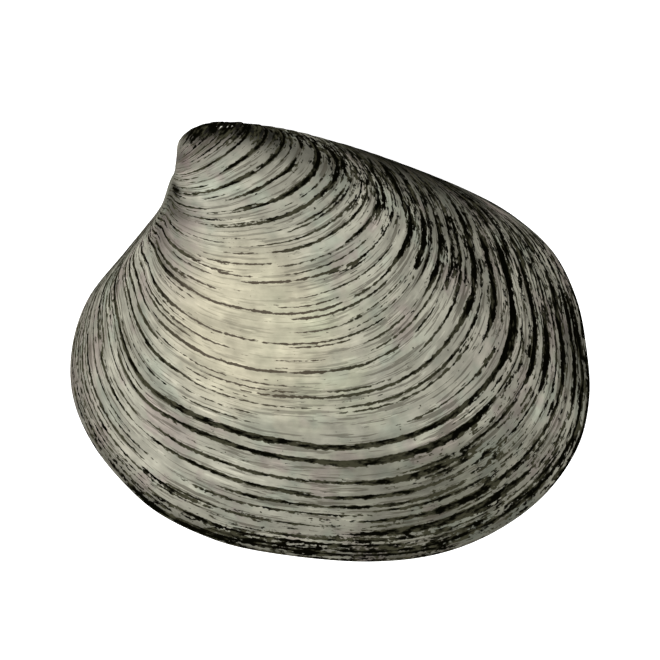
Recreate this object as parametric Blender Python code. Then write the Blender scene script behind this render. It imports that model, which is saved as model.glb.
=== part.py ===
"""The left valve of a Clementia shell, lying on its edge with its outside up.

The shell grows as a coil: each growth stage is the edge outline, shrunk about the beak,
swung up round the hinge line and twisted forward. Sizes are in millimetres and become
metres when the mesh is made. +X is the shell's hind end, +Y its hinge side, +Z its outside.
"""

import math

import bmesh
import bpy
import numpy as np
from mathutils import Matrix, Vector

MM = 0.001

# The outline of the edge, seen from the outside, from the front notch round the belly
EDGE = (
    (-22.8, 18.3), (-25.0, 15.4), (-27.7, 12.1), (-32.7, 5.7), (-34.8, -0.8), (-34.7, -7.3),
    (-32.0, -13.8), (-26.7, -20.2), (-22.7, -23.4), (-15.1, -26.9), (-8.1, -28.5), (5.4, -29.7),
    (14.9, -28.6), (22.8, -25.4), (29.4, -20.3), (33.7, -13.8), (35.1, -7.3), (34.7, -0.8),
    (33.4, 5.7), (30.3, 12.0), (25.0, 16.9), (19.6, 20.0), (9.3, 23.7), (-7.2, 24.6),
    (-15.3, 24.3), (-20.6, 23.2),
)
VALVE_DEPTH = 18.5

# The coil: its pole, then how each stage shrinks and turns for each radian of growth
POLE = (-19.4, 25.6)
HINGE_TILT = math.radians(4)
SHRINK = 1.156
SHRINK_GAIN = 0.073
HINGE_SHRINK = 0.06
LEAN = 0.2
TWIST = 0.314
BEAK_TURN = 2.8
BEAK_RINGS = 7

# The wall, its flat edge and the hollow inside
WALL = 1.3
FLAT_EDGE = 1.05
EDGE_BEVEL = 0.12
HOLLOW_CENTRE = (1.0, -2.0)
HOLLOW_TURN = 1.15
HOLLOW_RINGS = 10
HOLLOW_CAP_TURN = 1.27

# The growth steps, each by the share of the full size still to grow: strong ones, fine ones
# and those of the umbo, then how high each kind stands and how wide its ledge is
BOLD_STEPS = (0.175, 0.207, 0.241, 0.312, 0.378, 0.435, 0.494)
FINE_STEPS = (0.035, 0.068, 0.1, 0.14, 0.276, 0.343, 0.408, 0.465, 0.528, 0.565, 0.61)
UMBO_STEPS = (0.655, 0.688, 0.717, 0.747, 0.782, 0.822, 0.86)
BOLD_HEIGHT = 0.42
FINE_HEIGHT = 0.24
UMBO_HEIGHT = 0.34
LEDGE_TURN = 0.013
SPEED_POWER = 1.5

# The hinge plate and its three teeth: how far each starts from the pole along the hinge line
# and from it towards the belly, then its direction, length and width
PLATE_WIDTH = 3.1
PLATE_RISE = 0.95
PLATE_STEP = 0.4
PLATE_BACK = (9.0, 27.0)
PLATE_BELLY = (3.0, 8.0)
TEETH = (
    (0.9, 2.2, 118, 3.0, 0.75),
    (2.9, 2.0, 84, 3.3, 1.15),
    (5.2, 1.9, 38, 5.2, 0.85),
)
TOOTH_TOP = 0.3
TOOTH_ROOT = 2.0
TOOTH_TAPER = 0.6

EDGE_POINTS = 68
OUTLINE_DENSITY = 40
SLOPE_STEP = 0.001

SHELL_COLOUR = (0.36, 0.35, 0.29, 1.0)
SHELL_ROUGHNESS = 0.6


def smooth_fade(value, start, end):
    """1 up to start, 0 from end on, with a smooth fall between them."""
    t = np.clip((value - start) / (end - start), 0.0, 1.0)
    return 1.0 - t * t * (3.0 - 2.0 * t)


def span_points(before, first, second, after, count):
    """Points from first towards second on a centripetal Catmull-Rom curve."""
    knots = [0.0]
    for start, end in ((before, first), (first, second), (second, after)):
        knots.append(knots[-1] + math.sqrt(np.linalg.norm(end - start)))
    k0, k1, k2, k3 = knots
    t = np.linspace(k1, k2, count, endpoint=False)[:, None]
    a1 = (k1 - t) / (k1 - k0) * before + (t - k0) / (k1 - k0) * first
    a2 = (k2 - t) / (k2 - k1) * first + (t - k1) / (k2 - k1) * second
    a3 = (k3 - t) / (k3 - k2) * second + (t - k2) / (k3 - k2) * after
    b1 = (k2 - t) / (k2 - k0) * a1 + (t - k0) / (k2 - k0) * a2
    b2 = (k3 - t) / (k3 - k1) * a2 + (t - k1) / (k3 - k1) * a3
    return (k2 - t) / (k2 - k1) * b1 + (t - k1) / (k2 - k1) * b2


def edge_outline(count):
    """The closed edge as count points, evenly spaced along it."""
    guide = [np.array(point) for point in EDGE]
    total = len(guide)
    spans = []
    for i in range(total):
        neighbours = [guide[(i + step) % total] for step in (-1, 0, 1, 2)]
        spans.append(span_points(*neighbours, OUTLINE_DENSITY))
    dense = np.concatenate(spans)
    closed = np.vstack([dense, dense[:1]])
    lengths = np.linalg.norm(np.diff(closed, axis=0), axis=1)
    travelled = np.concatenate([[0.0], np.cumsum(lengths)])
    wanted = np.linspace(0.0, travelled[-1], count, endpoint=False)
    columns = [np.interp(wanted, travelled, closed[:, axis]) for axis in (0, 1)]
    return np.stack(columns, axis=1)


def along_and_out(points):
    """Each point's place along the hinge line, and its distance from it towards the belly."""
    dx = points[:, 0] - POLE[0]
    dy = points[:, 1] - POLE[1]
    along = dx * math.cos(HINGE_TILT) + dy * math.sin(HINGE_TILT)
    out = dx * math.sin(HINGE_TILT) - dy * math.cos(HINGE_TILT)
    return along, out


def stage_size(turn):
    return math.exp(-(SHRINK * turn + SHRINK_GAIN * turn * turn))


def growth_ring(points, turn, stretch):
    """The outline at an earlier stage of growth, turn radians back from the edge."""
    along, out = along_and_out(points)
    size = stage_size(turn)
    u = size * (math.exp(-HINGE_SHRINK * turn) * along + LEAN * math.sin(turn) * out)
    v = size * out * math.cos(turn)
    swing = HINGE_TILT + TWIST * turn
    x = POLE[0] + u * math.cos(swing) + v * math.sin(swing)
    y = POLE[1] + u * math.sin(swing) - v * math.cos(swing)
    z = size * out * math.sin(turn) * stretch
    return np.stack([x, y, z], axis=1)


def raised_ring(points, turn, stretch, height):
    """A growth ring lifted off the outside, most where the shell grows fastest."""
    ring = growth_ring(points, turn, stretch)
    around = np.roll(ring, -1, axis=0) - np.roll(ring, 1, axis=0)
    back = growth_ring(points, turn + SLOPE_STEP, stretch)
    back = back - growth_ring(points, turn - SLOPE_STEP, stretch)
    speed = np.linalg.norm(back, axis=1, keepdims=True)
    normal = np.cross(around, back)
    normal = normal / np.linalg.norm(normal, axis=1, keepdims=True)
    share = (speed / speed.max()) ** SPEED_POWER
    return ring + height * math.sqrt(stage_size(turn)) * share * normal


def turn_of(share):
    """The turn of the stage that had this share of the full size still to grow."""
    shrunk = -math.log(1.0 - share)
    return (math.sqrt(SHRINK ** 2 + 4.0 * SHRINK_GAIN * shrunk) - SHRINK) / (2.0 * SHRINK_GAIN)


def growth_steps():
    """(turn, height) of every growth step, from the edge to the umbo."""
    kinds = ((BOLD_STEPS, BOLD_HEIGHT), (FINE_STEPS, FINE_HEIGHT), (UMBO_STEPS, UMBO_HEIGHT))
    return sorted((turn_of(share), height) for shares, height in kinds for share in shares)


def outside_rings(outline, stretch):
    """The edge, then a groove and a crest at each growth step, then the beak."""
    rings = [growth_ring(outline, 0.0, stretch)]
    last_turn = 0.0
    for turn, height in growth_steps():
        last_turn = turn + LEDGE_TURN
        rings.append(growth_ring(outline, turn, stretch))
        rings.append(raised_ring(outline, last_turn, stretch, height))
    for turn in np.linspace(last_turn, BEAK_TURN, BEAK_RINGS + 1)[1:]:
        rings.append(growth_ring(outline, turn, stretch))
    return rings


def moved_in(outline, widths):
    """The outline drawn in towards the middle of the hollow by a width at each point."""
    centre = np.array(HOLLOW_CENTRE)
    arms = outline - centre
    lengths = np.linalg.norm(arms, axis=1, keepdims=True)
    return centre + arms * (1.0 - widths[:, None] / lengths)


def plate_share(outline):
    """1 on the hinge plate under the beak, fading out to the front and the back."""
    along, out = along_and_out(outline)
    return smooth_fade(out, *PLATE_BELLY) * smooth_fade(along, *PLATE_BACK)


def inside_rings(outline, stretch):
    """The flat edge, the hinge plate, then the hollow up to its end in the umbo."""
    share = plate_share(outline)
    none = np.zeros(len(outline))
    rim = (
        (FLAT_EDGE + none, none),
        (FLAT_EDGE + EDGE_BEVEL + PLATE_STEP * share, EDGE_BEVEL + (PLATE_RISE - EDGE_BEVEL) * share),
        (WALL + PLATE_WIDTH * share, 2 * EDGE_BEVEL + (PLATE_RISE - 2 * EDGE_BEVEL) * share),
    )
    rings = []
    for widths, rise in rim:
        ring = growth_ring(moved_in(outline, widths), 0.0, stretch)
        ring[:, 2] = rise
        rings.append(ring)
    rim_rise = rings[-1][:, 2]
    wall = WALL + PLATE_WIDTH * share
    for turn in np.linspace(0.0, HOLLOW_TURN, HOLLOW_RINGS + 1)[1:]:
        ring = growth_ring(moved_in(outline, wall / stage_size(turn)), turn, stretch)
        ring[:, 2] += rim_rise * (1.0 - turn / HOLLOW_TURN)
        rings.append(ring)
    return rings


def ring_centre(turn, stretch):
    return growth_ring(np.array([HOLLOW_CENTRE]), turn, stretch)[0]


def add_ring(bm, ring):
    return [bm.verts.new(Vector(point) * MM) for point in ring]


def join_rings(bm, first, second):
    for i in range(len(first)):
        j = (i + 1) % len(first)
        bm.faces.new((first[i], first[j], second[j], second[i]))


def close_ring(bm, ring, tip):
    point = bm.verts.new(Vector(tip) * MM)
    for i in range(len(ring)):
        bm.faces.new((ring[i], ring[(i + 1) % len(ring)], point))


def shell_mesh(outline, stretch, shift):
    """The whole wall as one closed skin: beak, outside, flat edge, hinge plate, hollow."""
    outside = outside_rings(outline, stretch)
    inside = inside_rings(outline, stretch)
    bm = bmesh.new()
    loops = [add_ring(bm, ring + shift) for ring in outside[::-1] + inside]
    for first, second in zip(loops, loops[1:]):
        join_rings(bm, first, second)
    close_ring(bm, loops[0], ring_centre(BEAK_TURN, stretch) + shift)
    close_ring(bm, loops[-1], ring_centre(HOLLOW_CAP_TURN, stretch) + shift)
    bmesh.ops.triangulate(bm, faces=bm.faces[:])
    bmesh.ops.recalc_face_normals(bm, faces=bm.faces[:])
    mesh = bpy.data.meshes.new("valve")
    bm.to_mesh(mesh)
    bm.free()
    return mesh


def tooth_mesh(length, width):
    """A bar from its root to its narrower top, along X from the origin."""
    bm = bmesh.new()
    bmesh.ops.create_cube(bm, size=1.0)
    height = TOOTH_ROOT - TOOTH_TOP
    for vert in bm.verts:
        narrow = TOOTH_TAPER if vert.co.z < 0 else 1.0
        x = (vert.co.x * narrow + 0.5) * length
        y = vert.co.y * narrow * width
        z = TOOTH_TOP + (vert.co.z + 0.5) * height
        vert.co = Vector((x, y, z)) * MM
    mesh = bpy.data.meshes.new("tooth")
    bm.to_mesh(mesh)
    bm.free()
    return mesh


def add_tooth(valve, number, tooth, shift):
    """Joins one hinge tooth to the plate."""
    start_along, start_out, direction, length, width = tooth
    angle = HINGE_TILT - math.radians(direction)
    x = POLE[0] + start_along * math.cos(HINGE_TILT) + start_out * math.sin(HINGE_TILT)
    y = POLE[1] + start_along * math.sin(HINGE_TILT) - start_out * math.cos(HINGE_TILT)
    piece = bpy.data.objects.new(f"tooth_guide_{number}", tooth_mesh(length, width))
    bpy.context.scene.collection.objects.link(piece)
    place = Vector((x + shift[0], y + shift[1], 0.0)) * MM
    piece.matrix_world = Matrix.Translation(place) @ Matrix.Rotation(angle, 4, "Z")
    piece.hide_render = True
    piece.display_type = "WIRE"
    union = valve.modifiers.new(f"tooth_{number}", "BOOLEAN")
    union.operation = "UNION"
    union.solver = "EXACT"
    union.object = piece


def shell_material():
    material = bpy.data.materials.new("shell")
    material.use_nodes = True
    shader = material.node_tree.nodes["Principled BSDF"]
    shader.inputs["Base Color"].default_value = SHELL_COLOUR
    shader.inputs["Roughness"].default_value = SHELL_ROUGHNESS
    shader.inputs["Metallic"].default_value = 0.0
    return material


def make_valve():
    outline = edge_outline(EDGE_POINTS)
    tops = [ring[:, 2].max() for ring in outside_rings(outline, 1.0)]
    stretch = VALVE_DEPTH / max(tops)
    every = np.concatenate(outside_rings(outline, stretch))
    middle = (every.min(axis=0) + every.max(axis=0)) / 2
    shift = np.array([-middle[0], -middle[1], 0.0])
    valve = bpy.data.objects.new("valve", shell_mesh(outline, stretch, shift))
    bpy.context.scene.collection.objects.link(valve)
    valve.data.materials.append(shell_material())
    valve.data.shade_smooth()
    valve.data.set_sharp_from_angle(angle=math.radians(35))
    for number, tooth in enumerate(TEETH, start=1):
        add_tooth(valve, number, tooth, shift)


for old in list(bpy.data.objects):
    bpy.data.objects.remove(old)
make_valve()
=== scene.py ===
"""The left valve of a Clementia shell, as it lies on its rim and is seen from straight above.

The frame's plain solid is replaced by one finer skin, grown by the same coil. Growth lines
run along it as ledges, fine grooves and dark broken strokes, and the hollow side has its
hinge teeth, its scars and a pale smooth lining. Lengths are in millimetres up to the mesh,
which is in metres, in the frame's own axes.
"""
import math

import bpy
import numpy as np
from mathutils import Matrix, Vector


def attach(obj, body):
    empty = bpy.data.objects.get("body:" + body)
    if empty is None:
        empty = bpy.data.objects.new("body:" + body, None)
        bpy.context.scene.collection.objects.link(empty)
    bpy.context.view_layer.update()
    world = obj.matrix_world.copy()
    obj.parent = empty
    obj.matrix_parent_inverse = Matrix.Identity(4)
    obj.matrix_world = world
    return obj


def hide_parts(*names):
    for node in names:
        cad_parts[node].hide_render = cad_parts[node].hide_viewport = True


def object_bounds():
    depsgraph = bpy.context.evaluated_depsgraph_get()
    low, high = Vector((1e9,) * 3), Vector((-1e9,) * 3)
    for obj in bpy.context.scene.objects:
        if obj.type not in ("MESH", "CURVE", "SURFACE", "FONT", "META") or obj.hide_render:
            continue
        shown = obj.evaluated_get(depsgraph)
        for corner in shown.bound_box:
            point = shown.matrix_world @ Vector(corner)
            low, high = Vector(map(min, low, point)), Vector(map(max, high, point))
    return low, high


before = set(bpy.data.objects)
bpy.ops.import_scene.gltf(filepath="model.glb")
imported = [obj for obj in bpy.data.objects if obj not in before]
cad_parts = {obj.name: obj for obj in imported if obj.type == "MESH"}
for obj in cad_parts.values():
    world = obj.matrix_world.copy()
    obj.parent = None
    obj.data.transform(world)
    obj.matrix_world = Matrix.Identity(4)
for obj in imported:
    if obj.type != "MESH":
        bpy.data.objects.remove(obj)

MM = 0.001
CAD_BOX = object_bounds()

# The edge outline and the coil, as the frame's solid has them
EDGE = (
    (-22.8, 18.3), (-25.0, 15.4), (-27.7, 12.1), (-32.7, 5.7), (-34.8, -0.8), (-34.7, -7.3),
    (-32.0, -13.8), (-26.7, -20.2), (-22.7, -23.4), (-15.1, -26.9), (-8.1, -28.5), (5.4, -29.7),
    (14.9, -28.6), (22.8, -25.4), (29.4, -20.3), (33.7, -13.8), (35.1, -7.3), (34.7, -0.8),
    (33.4, 5.7), (30.3, 12.0), (25.0, 16.9), (19.6, 20.0), (9.3, 23.7), (-7.2, 24.6),
    (-15.3, 24.3), (-20.6, 23.2),
)
POLE = (-19.4, 25.6)
HINGE_TILT = math.radians(4)
SHRINK = 1.156
SHRINK_GAIN = 0.073
HINGE_SHRINK = 0.06
LEAN = 0.2
TWIST = 0.314
BEAK_TURN = 2.8
SIZE_LEAST = 0.02

# The wall, its flat edge, the hollow and the hinge plate
WALL = 1.3
FLAT_EDGE = 1.05
EDGE_BEVEL = 0.12
HOLLOW_CENTRE = (1.0, -2.0)
HOLLOW_TURN = 1.15
HOLLOW_CAP_TURN = 1.27
PLATE_WIDTH = 3.1
PLATE_RISE = 0.95
PLATE_STEP = 0.4
PLATE_BACK = (9.0, 27.0)
PLATE_BELLY = (3.0, 8.0)

# The growth ledges, each by the share of the full size still to grow
BOLD_STEPS = (0.175, 0.207, 0.241, 0.312, 0.378, 0.435, 0.494)
FINE_STEPS = (0.035, 0.068, 0.1, 0.14, 0.276, 0.343, 0.408, 0.465, 0.528, 0.565, 0.61)
UMBO_STEPS = (0.655, 0.688, 0.717, 0.747, 0.782, 0.822, 0.86)
BOLD_HEIGHT = 0.42
FINE_HEIGHT = 0.24
UMBO_HEIGHT = 0.34
LEDGE_TURN = 0.013
LEDGES_END = 0.93
LEDGE_LINE_MOST = 0.95
SPEED_POWER = 1.5

# How fine the skin is: points round the edge, closer together along the hinge, and rings
AROUND = 300
HINGE_CLOSER = 3.5
HINGE_FROM = 0.83
PLACE_STEPS = 4001
OUTSIDE_RINGS = 256
RING_LEAST = 0.0012
PLATE_RINGS = 10
HOLLOW_RINGS = 52
HOLLOW_CLOSER = 1.3
CAP_RINGS = 7
OUTLINE_DENSITY = 60
SLOPE_STEP = 0.001
LINE_SOLVE_STEPS = 12
SHARE_MOST = 0.975
SHARP_ANGLE = math.radians(50)

# Where growth lines leave the coil's own stages: place round the edge, share still to grow,
# the reach of each, and the shift
WAVES = (
    (0.140, 0.24, 0.022, 0.10, 0.006),
    (0.192, 0.22, 0.030, 0.13, -0.009),
    (0.270, 0.21, 0.045, 0.10, 0.008),
    (0.375, 0.20, 0.050, 0.12, -0.004),
    (0.360, 0.46, 0.075, 0.10, -0.011),
    (0.370, 0.62, 0.070, 0.05, -0.005),
    (0.560, 0.40, 0.090, 0.11, 0.024),
    (0.610, 0.20, 0.060, 0.08, -0.004),
)
# How far the lines shift on the umbo, by place round the edge, and from which share on
UMBO_TILT = ((0.0, -0.022), (0.1, -0.033), (0.6, 0.022), (0.85, 0.0), (1.0, -0.022))
UMBO_TILT_FROM = (0.60, 0.76)
# How far the lines bend at the front, and where the bend ends on both sides of it
FRONT_BEND = 0.10
FRONT_BEND_AFTER = (0.055, 0.13)
FRONT_BEND_BEFORE = (0.9, 1.0)
# Next to the edge the lines follow the edge
EDGE_STRAIGHT = (0.0, 0.05)

# The strokes along the growth lines: line, first and last place round the edge, width in mm
STROKES = (
    (0.003, 0.22, 0.40, 0.20), (0.003, 0.41, 0.46, 0.30), (0.003, 0.53, 0.68, 0.60),
    (0.008, 0.218, 0.30, 0.70), (0.008, 0.60, 0.66, 0.40), (0.012, 0.09, 0.30, 0.22),
    (0.014, 0.26, 0.45, 0.52), (0.022, 0.27, 0.62, 0.55), (0.024, 0.09, 0.26, 0.20),
    (0.024, 0.57, 0.66, 0.80), (0.034, 0.24, 0.56, 0.60), (0.036, 0.62, 0.67, 0.80),
    (0.037, 0.09, 0.25, 0.20), (0.046, 0.33, 0.56, 0.25), (0.050, 0.09, 0.24, 0.18),
    (0.050, 0.30, 0.44, 0.34), (0.050, 0.57, 0.67, 0.85), (0.060, 0.12, 0.27, 0.25),
    (0.060, 0.38, 0.53, 0.60), (0.062, 0.39, 0.52, 1.00), (0.067, 0.22, 0.28, 0.48),
    (0.074, 0.09, 0.20, 0.18), (0.074, 0.24, 0.36, 0.42), (0.086, 0.11, 0.22, 0.30),
    (0.087, 0.43, 0.51, 0.95), (0.087, 0.58, 0.67, 0.95), (0.088, 0.39, 0.62, 0.55),
    (0.099, 0.25, 0.40, 0.36), (0.101, 0.17, 0.23, 0.28), (0.108, 0.40, 0.50, 0.50),
    (0.108, 0.57, 0.66, 0.45), (0.115, 0.09, 0.20, 0.20), (0.119, 0.28, 0.51, 0.50),
    (0.125, 0.62, 0.68, 0.50), (0.137, 0.33, 0.45, 0.52), (0.138, 0.56, 0.63, 1.20),
    (0.140, 0.20, 0.58, 0.24), (0.141, 0.10, 0.20, 0.42), (0.143, 0.22, 0.35, 0.46),
    (0.150, 0.56, 0.64, 0.35), (0.152, 0.09, 0.17, 0.20), (0.155, 0.44, 0.50, 0.35),
    (0.163, 0.11, 0.22, 0.24), (0.165, 0.39, 0.48, 0.84), (0.168, 0.21, 0.42, 0.42),
    (0.175, 0.43, 0.58, 0.55), (0.175, 0.55, 0.67, 1.10), (0.187, 0.22, 0.30, 0.12),
    (0.188, 0.09, 0.19, 0.26), (0.206, 0.12, 0.25, 0.42), (0.206, 0.36, 0.52, 1.10),
    (0.210, 0.22, 0.38, 0.78), (0.212, 0.49, 0.63, 0.34), (0.222, 0.09, 0.20, 0.18),
    (0.224, 0.48, 0.56, 0.16), (0.236, 0.54, 0.67, 1.30), (0.237, 0.33, 0.56, 0.72),
    (0.238, 0.09, 0.34, 0.58), (0.243, 0.21, 0.35, 0.64), (0.256, 0.09, 0.18, 0.20),
    (0.258, 0.52, 0.56, 0.14), (0.262, 0.43, 0.55, 0.22), (0.268, 0.23, 0.30, 0.20),
    (0.270, 0.15, 0.21, 0.20), (0.283, 0.55, 0.67, 1.05), (0.284, 0.16, 0.19, 0.20),
    (0.287, 0.22, 0.31, 0.16), (0.296, 0.09, 0.16, 0.20), (0.300, 0.38, 0.54, 0.24),
    (0.309, 0.22, 0.36, 0.16), (0.309, 0.38, 0.59, 0.34), (0.312, 0.11, 0.23, 0.50),
    (0.320, 0.23, 0.29, 0.14), (0.328, 0.53, 0.68, 0.85), (0.331, 0.22, 0.31, 0.16),
    (0.331, 0.30, 0.59, 0.38), (0.340, 0.24, 0.44, 0.20), (0.342, 0.09, 0.19, 0.42),
    (0.352, 0.17, 0.35, 0.18), (0.354, 0.47, 0.58, 0.36), (0.358, 0.55, 0.63, 0.36),
    (0.372, 0.08, 0.16, 0.42), (0.376, 0.55, 0.65, 0.80), (0.378, 0.17, 0.26, 0.46),
    (0.379, 0.25, 0.34, 0.40), (0.379, 0.33, 0.43, 0.48), (0.381, 0.42, 0.52, 0.40),
    (0.398, 0.14, 0.22, 0.24), (0.398, 0.43, 0.64, 0.28), (0.402, 0.32, 0.38, 0.14),
    (0.410, 0.12, 0.27, 0.26), (0.410, 0.52, 0.64, 0.90), (0.414, 0.42, 0.50, 0.32),
    (0.424, 0.16, 0.21, 0.16), (0.428, 0.33, 0.41, 0.16), (0.435, 0.30, 0.46, 0.30),
    (0.435, 0.52, 0.66, 0.46), (0.436, 0.20, 0.33, 0.28), (0.437, 0.12, 0.21, 0.52),
    (0.446, 0.41, 0.52, 0.16), (0.455, 0.51, 0.62, 1.00), (0.457, 0.34, 0.43, 0.18),
    (0.462, 0.42, 0.52, 0.16), (0.468, 0.15, 0.20, 0.14), (0.481, 0.16, 0.22, 0.15),
    (0.481, 0.34, 0.50, 0.30), (0.491, 0.30, 0.52, 0.30), (0.493, 0.50, 0.61, 0.85),
    (0.494, 0.21, 0.32, 0.30), (0.495, 0.09, 0.22, 0.55), (0.502, 0.33, 0.42, 0.16),
    (0.510, 0.60, 0.68, 1.15), (0.514, 0.08, 0.20, 0.38), (0.516, 0.36, 0.53, 0.20),
    (0.521, 0.18, 0.25, 0.22), (0.534, 0.07, 0.13, 0.35), (0.534, 0.43, 0.48, 0.28),
    (0.540, 0.42, 0.62, 0.24), (0.545, 0.28, 0.44, 0.30), (0.549, 0.16, 0.24, 0.18),
    (0.556, 0.25, 0.30, 0.28), (0.556, 0.35, 0.50, 0.20), (0.560, 0.56, 0.66, 0.55),
    (0.562, 0.21, 0.27, 0.20), (0.566, 0.12, 0.22, 0.42), (0.571, 0.32, 0.58, 0.22),
    (0.574, 0.46, 0.62, 0.40), (0.579, 0.21, 0.34, 0.18), (0.590, 0.09, 0.14, 0.34),
    (0.598, 0.34, 0.62, 0.40), (0.600, 0.26, 0.36, 0.18), (0.610, 0.52, 0.62, 0.45),
    (0.612, 0.10, 0.19, 0.30), (0.614, 0.30, 0.54, 0.30), (0.621, 0.19, 0.28, 0.15),
    (0.630, 0.27, 0.60, 0.22), (0.636, 0.38, 0.54, 0.44), (0.644, 0.42, 0.56, 0.20),
    (0.645, 0.22, 0.30, 0.14), (0.652, 0.54, 0.64, 0.95), (0.656, 0.26, 0.62, 0.48),
    (0.660, 0.19, 0.36, 0.22), (0.670, 0.40, 0.52, 0.22), (0.672, 0.24, 0.31, 0.15),
    (0.676, 0.13, 0.26, 0.22), (0.686, 0.32, 0.64, 0.74), (0.692, 0.19, 0.35, 0.26),
    (0.702, 0.10, 0.24, 0.36), (0.703, 0.48, 0.62, 0.30), (0.716, 0.28, 0.64, 0.70),
    (0.718, 0.14, 0.30, 0.24), (0.730, 0.12, 0.30, 0.22), (0.733, 0.46, 0.60, 0.26),
    (0.742, 0.10, 0.22, 0.22), (0.748, 0.20, 0.66, 0.62), (0.764, 0.12, 0.26, 0.20),
    (0.766, 0.48, 0.64, 0.34), (0.780, 0.22, 0.66, 0.60), (0.790, 0.12, 0.24, 0.20),
    (0.796, 0.43, 0.56, 0.20), (0.798, 0.50, 0.66, 0.60), (0.808, 0.13, 0.50, 0.44),
    (0.812, 0.48, 0.66, 0.80), (0.820, 0.40, 0.66, 0.52), (0.827, 0.26, 0.55, 0.28),
    (0.838, 0.24, 0.66, 0.46), (0.845, 0.44, 0.66, 1.00), (0.852, 0.18, 0.58, 0.34),
    (0.862, 0.42, 0.62, 0.80), (0.868, 0.17, 0.62, 0.36), (0.890, 0.20, 0.60, 0.24),
    (0.910, 0.24, 0.60, 0.20),
)

# Small painted highlights: pale flecks on the umbo's dark top, in the same way
HIGHLIGHT_FLECKS = (
    (0.867, 0.468, 0.472, 0.46),
    (0.860, 0.476, 0.480, 0.46),
    (0.854, 0.484, 0.488, 0.46),
    (0.848, 0.492, 0.496, 0.46),
    (0.842, 0.505, 0.509, 0.46),
    (0.829, 0.524, 0.530, 0.60),
)

# How a stroke ends: over this much of the edge, longer where it starts on the umbo, and with
# this share of its width
STROKE_END = 0.022
UMBO_RUN_IN = 0.13
STROKE_LEAST = 0.35
# How much strokes swell, and how narrow they are where growth was slow, in mm a radian
STROKE_SWELL = 1.2
STROKE_SLOW = (8.0, 45.0)
STROKE_SLOW_WIDTH = 0.35
CROWDED = (22.0, 60.0)
# A stroke that starts this near the front runs on past it
FRONT_STROKE = 0.13
FRONT_REACH = 0.075
# How far to each side of a stroke its distance counts, in mm
INK_REACH = 0.6

# Where the broken strokes crowd together, partly for the shell's own stains and crowded growth
# lines and partly as painted shade on the rims, the back slope and the umbo's top: place, share,
# the reach of each, and how much
DARK_AREAS = (
    (0.040, 0.35, 0.060, 0.32, 0.80),
    (0.060, 0.05, 0.050, 0.10, 0.45),
    (0.100, 0.50, 0.050, 0.18, 0.40),
    (0.140, 0.66, 0.050, 0.05, 0.50),
    (0.142, 0.722, 0.028, 0.024, 1.20),
    (0.160, 0.01, 0.080, 0.050, 0.40),
    (0.225, 0.00, 0.060, 0.025, 0.50),
    (0.280, 0.06, 0.080, 0.050, 0.32),
    (0.300, 0.14, 0.080, 0.050, 0.08),
    (0.300, 0.88, 0.120, 0.05, 0.50),
    (0.340, 0.06, 0.100, 0.050, 0.12),
    (0.350, 0.04, 0.060, 0.030, 0.22),
    (0.420, 0.91, 0.160, 0.055, 1.15),
    (0.450, 0.00, 0.240, 0.035, 0.80),
    (0.470, 0.07, 0.120, 0.055, 0.50),
    (0.480, 0.84, 0.130, 0.07, 0.60),
    (0.490, 0.15, 0.100, 0.090, 0.44),
    (0.490, 0.18, 0.060, 0.060, 0.30),
    (0.560, 0.45, 0.040, 0.20, 0.45),
    (0.620, 0.75, 0.130, 0.22, 0.85),
    (0.640, 0.30, 0.075, 0.45, 0.90),
    (0.700, 0.10, 0.040, 0.150, 0.45),
    (0.731, 0.07, 0.014, 0.05, -0.58),
    (0.760, 0.35, 0.035, 0.25, 0.60),
    (0.775, 0.03, 0.040, 0.050, 0.90),
    (0.780, 0.40, 0.090, 0.60, 0.85),
)
DARK_MOST = 1.4
DARK_EVERYWHERE = 0.16

# Painted shade: where the ground between the strokes is darker, in the same way, mostly along the
# rims, the hinge side and the umbo's top, and in places the shell's own darker ground
SHADED_AREAS = (
    (0.010, 0.15, 0.055, 0.40, 0.32),
    (0.060, 0.84, 0.080, 0.10, 0.36),
    (0.080, 0.68, 0.060, 0.18, 0.38),
    (0.090, 0.06, 0.060, 0.12, 0.12),
    (0.130, 0.54, 0.045, 0.07, 0.20),
    (0.142, 0.722, 0.024, 0.020, 0.62),
    (0.155, 0.66, 0.050, 0.04, 0.38),
    (0.160, 0.27, 0.060, 0.18, 0.08),
    (0.170, 0.02, 0.060, 0.10, 0.05),
    (0.180, 0.86, 0.090, 0.05, 0.26),
    (0.185, 0.82, 0.040, 0.05, 0.16),
    (0.240, 0.00, 0.050, 0.03, 0.18),
    (0.300, 0.09, 0.100, 0.08, 0.10),
    (0.350, 0.00, 0.260, 0.030, 0.32),
    (0.370, 0.272, 0.050, 0.018, 0.13),
    (0.380, 0.21, 0.060, 0.05, 0.12),
    (0.420, 0.92, 0.160, 0.05, 0.60),
    (0.440, 0.88, 0.140, 0.06, 0.48),
    (0.455, 0.10, 0.070, 0.09, 0.10),
    (0.460, 0.11, 0.090, 0.11, 0.24),
    # A painted highlight: a pale strip beside a bold stroke
    (0.480, 0.223, 0.050, 0.009, -0.26),
    (0.520, 0.82, 0.050, 0.05, 0.30),
    (0.540, 0.70, 0.050, 0.04, 0.10),
    (0.560, 0.80, 0.120, 0.10, 0.50),
    (0.590, 0.66, 0.050, 0.035, 0.28),
    (0.620, 0.05, 0.030, 0.06, 0.28),
    (0.620, 0.40, 0.045, 0.10, 0.24),
    (0.630, 0.05, 0.040, 0.06, 0.10),
    (0.670, 0.54, 0.035, 0.10, 0.42),
    (0.685, 0.34, 0.035, 0.14, 0.18),
    (0.715, 0.48, 0.030, 0.16, 0.34),
    (0.730, 0.07, 0.016, 0.05, -0.26),
    (0.745, 0.35, 0.035, 0.30, 0.30),
    (0.780, 0.02, 0.035, 0.03, 0.60),
    (0.780, 0.40, 0.080, 0.60, 0.48),
)
SHADE_LEAST = 0.2
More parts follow.
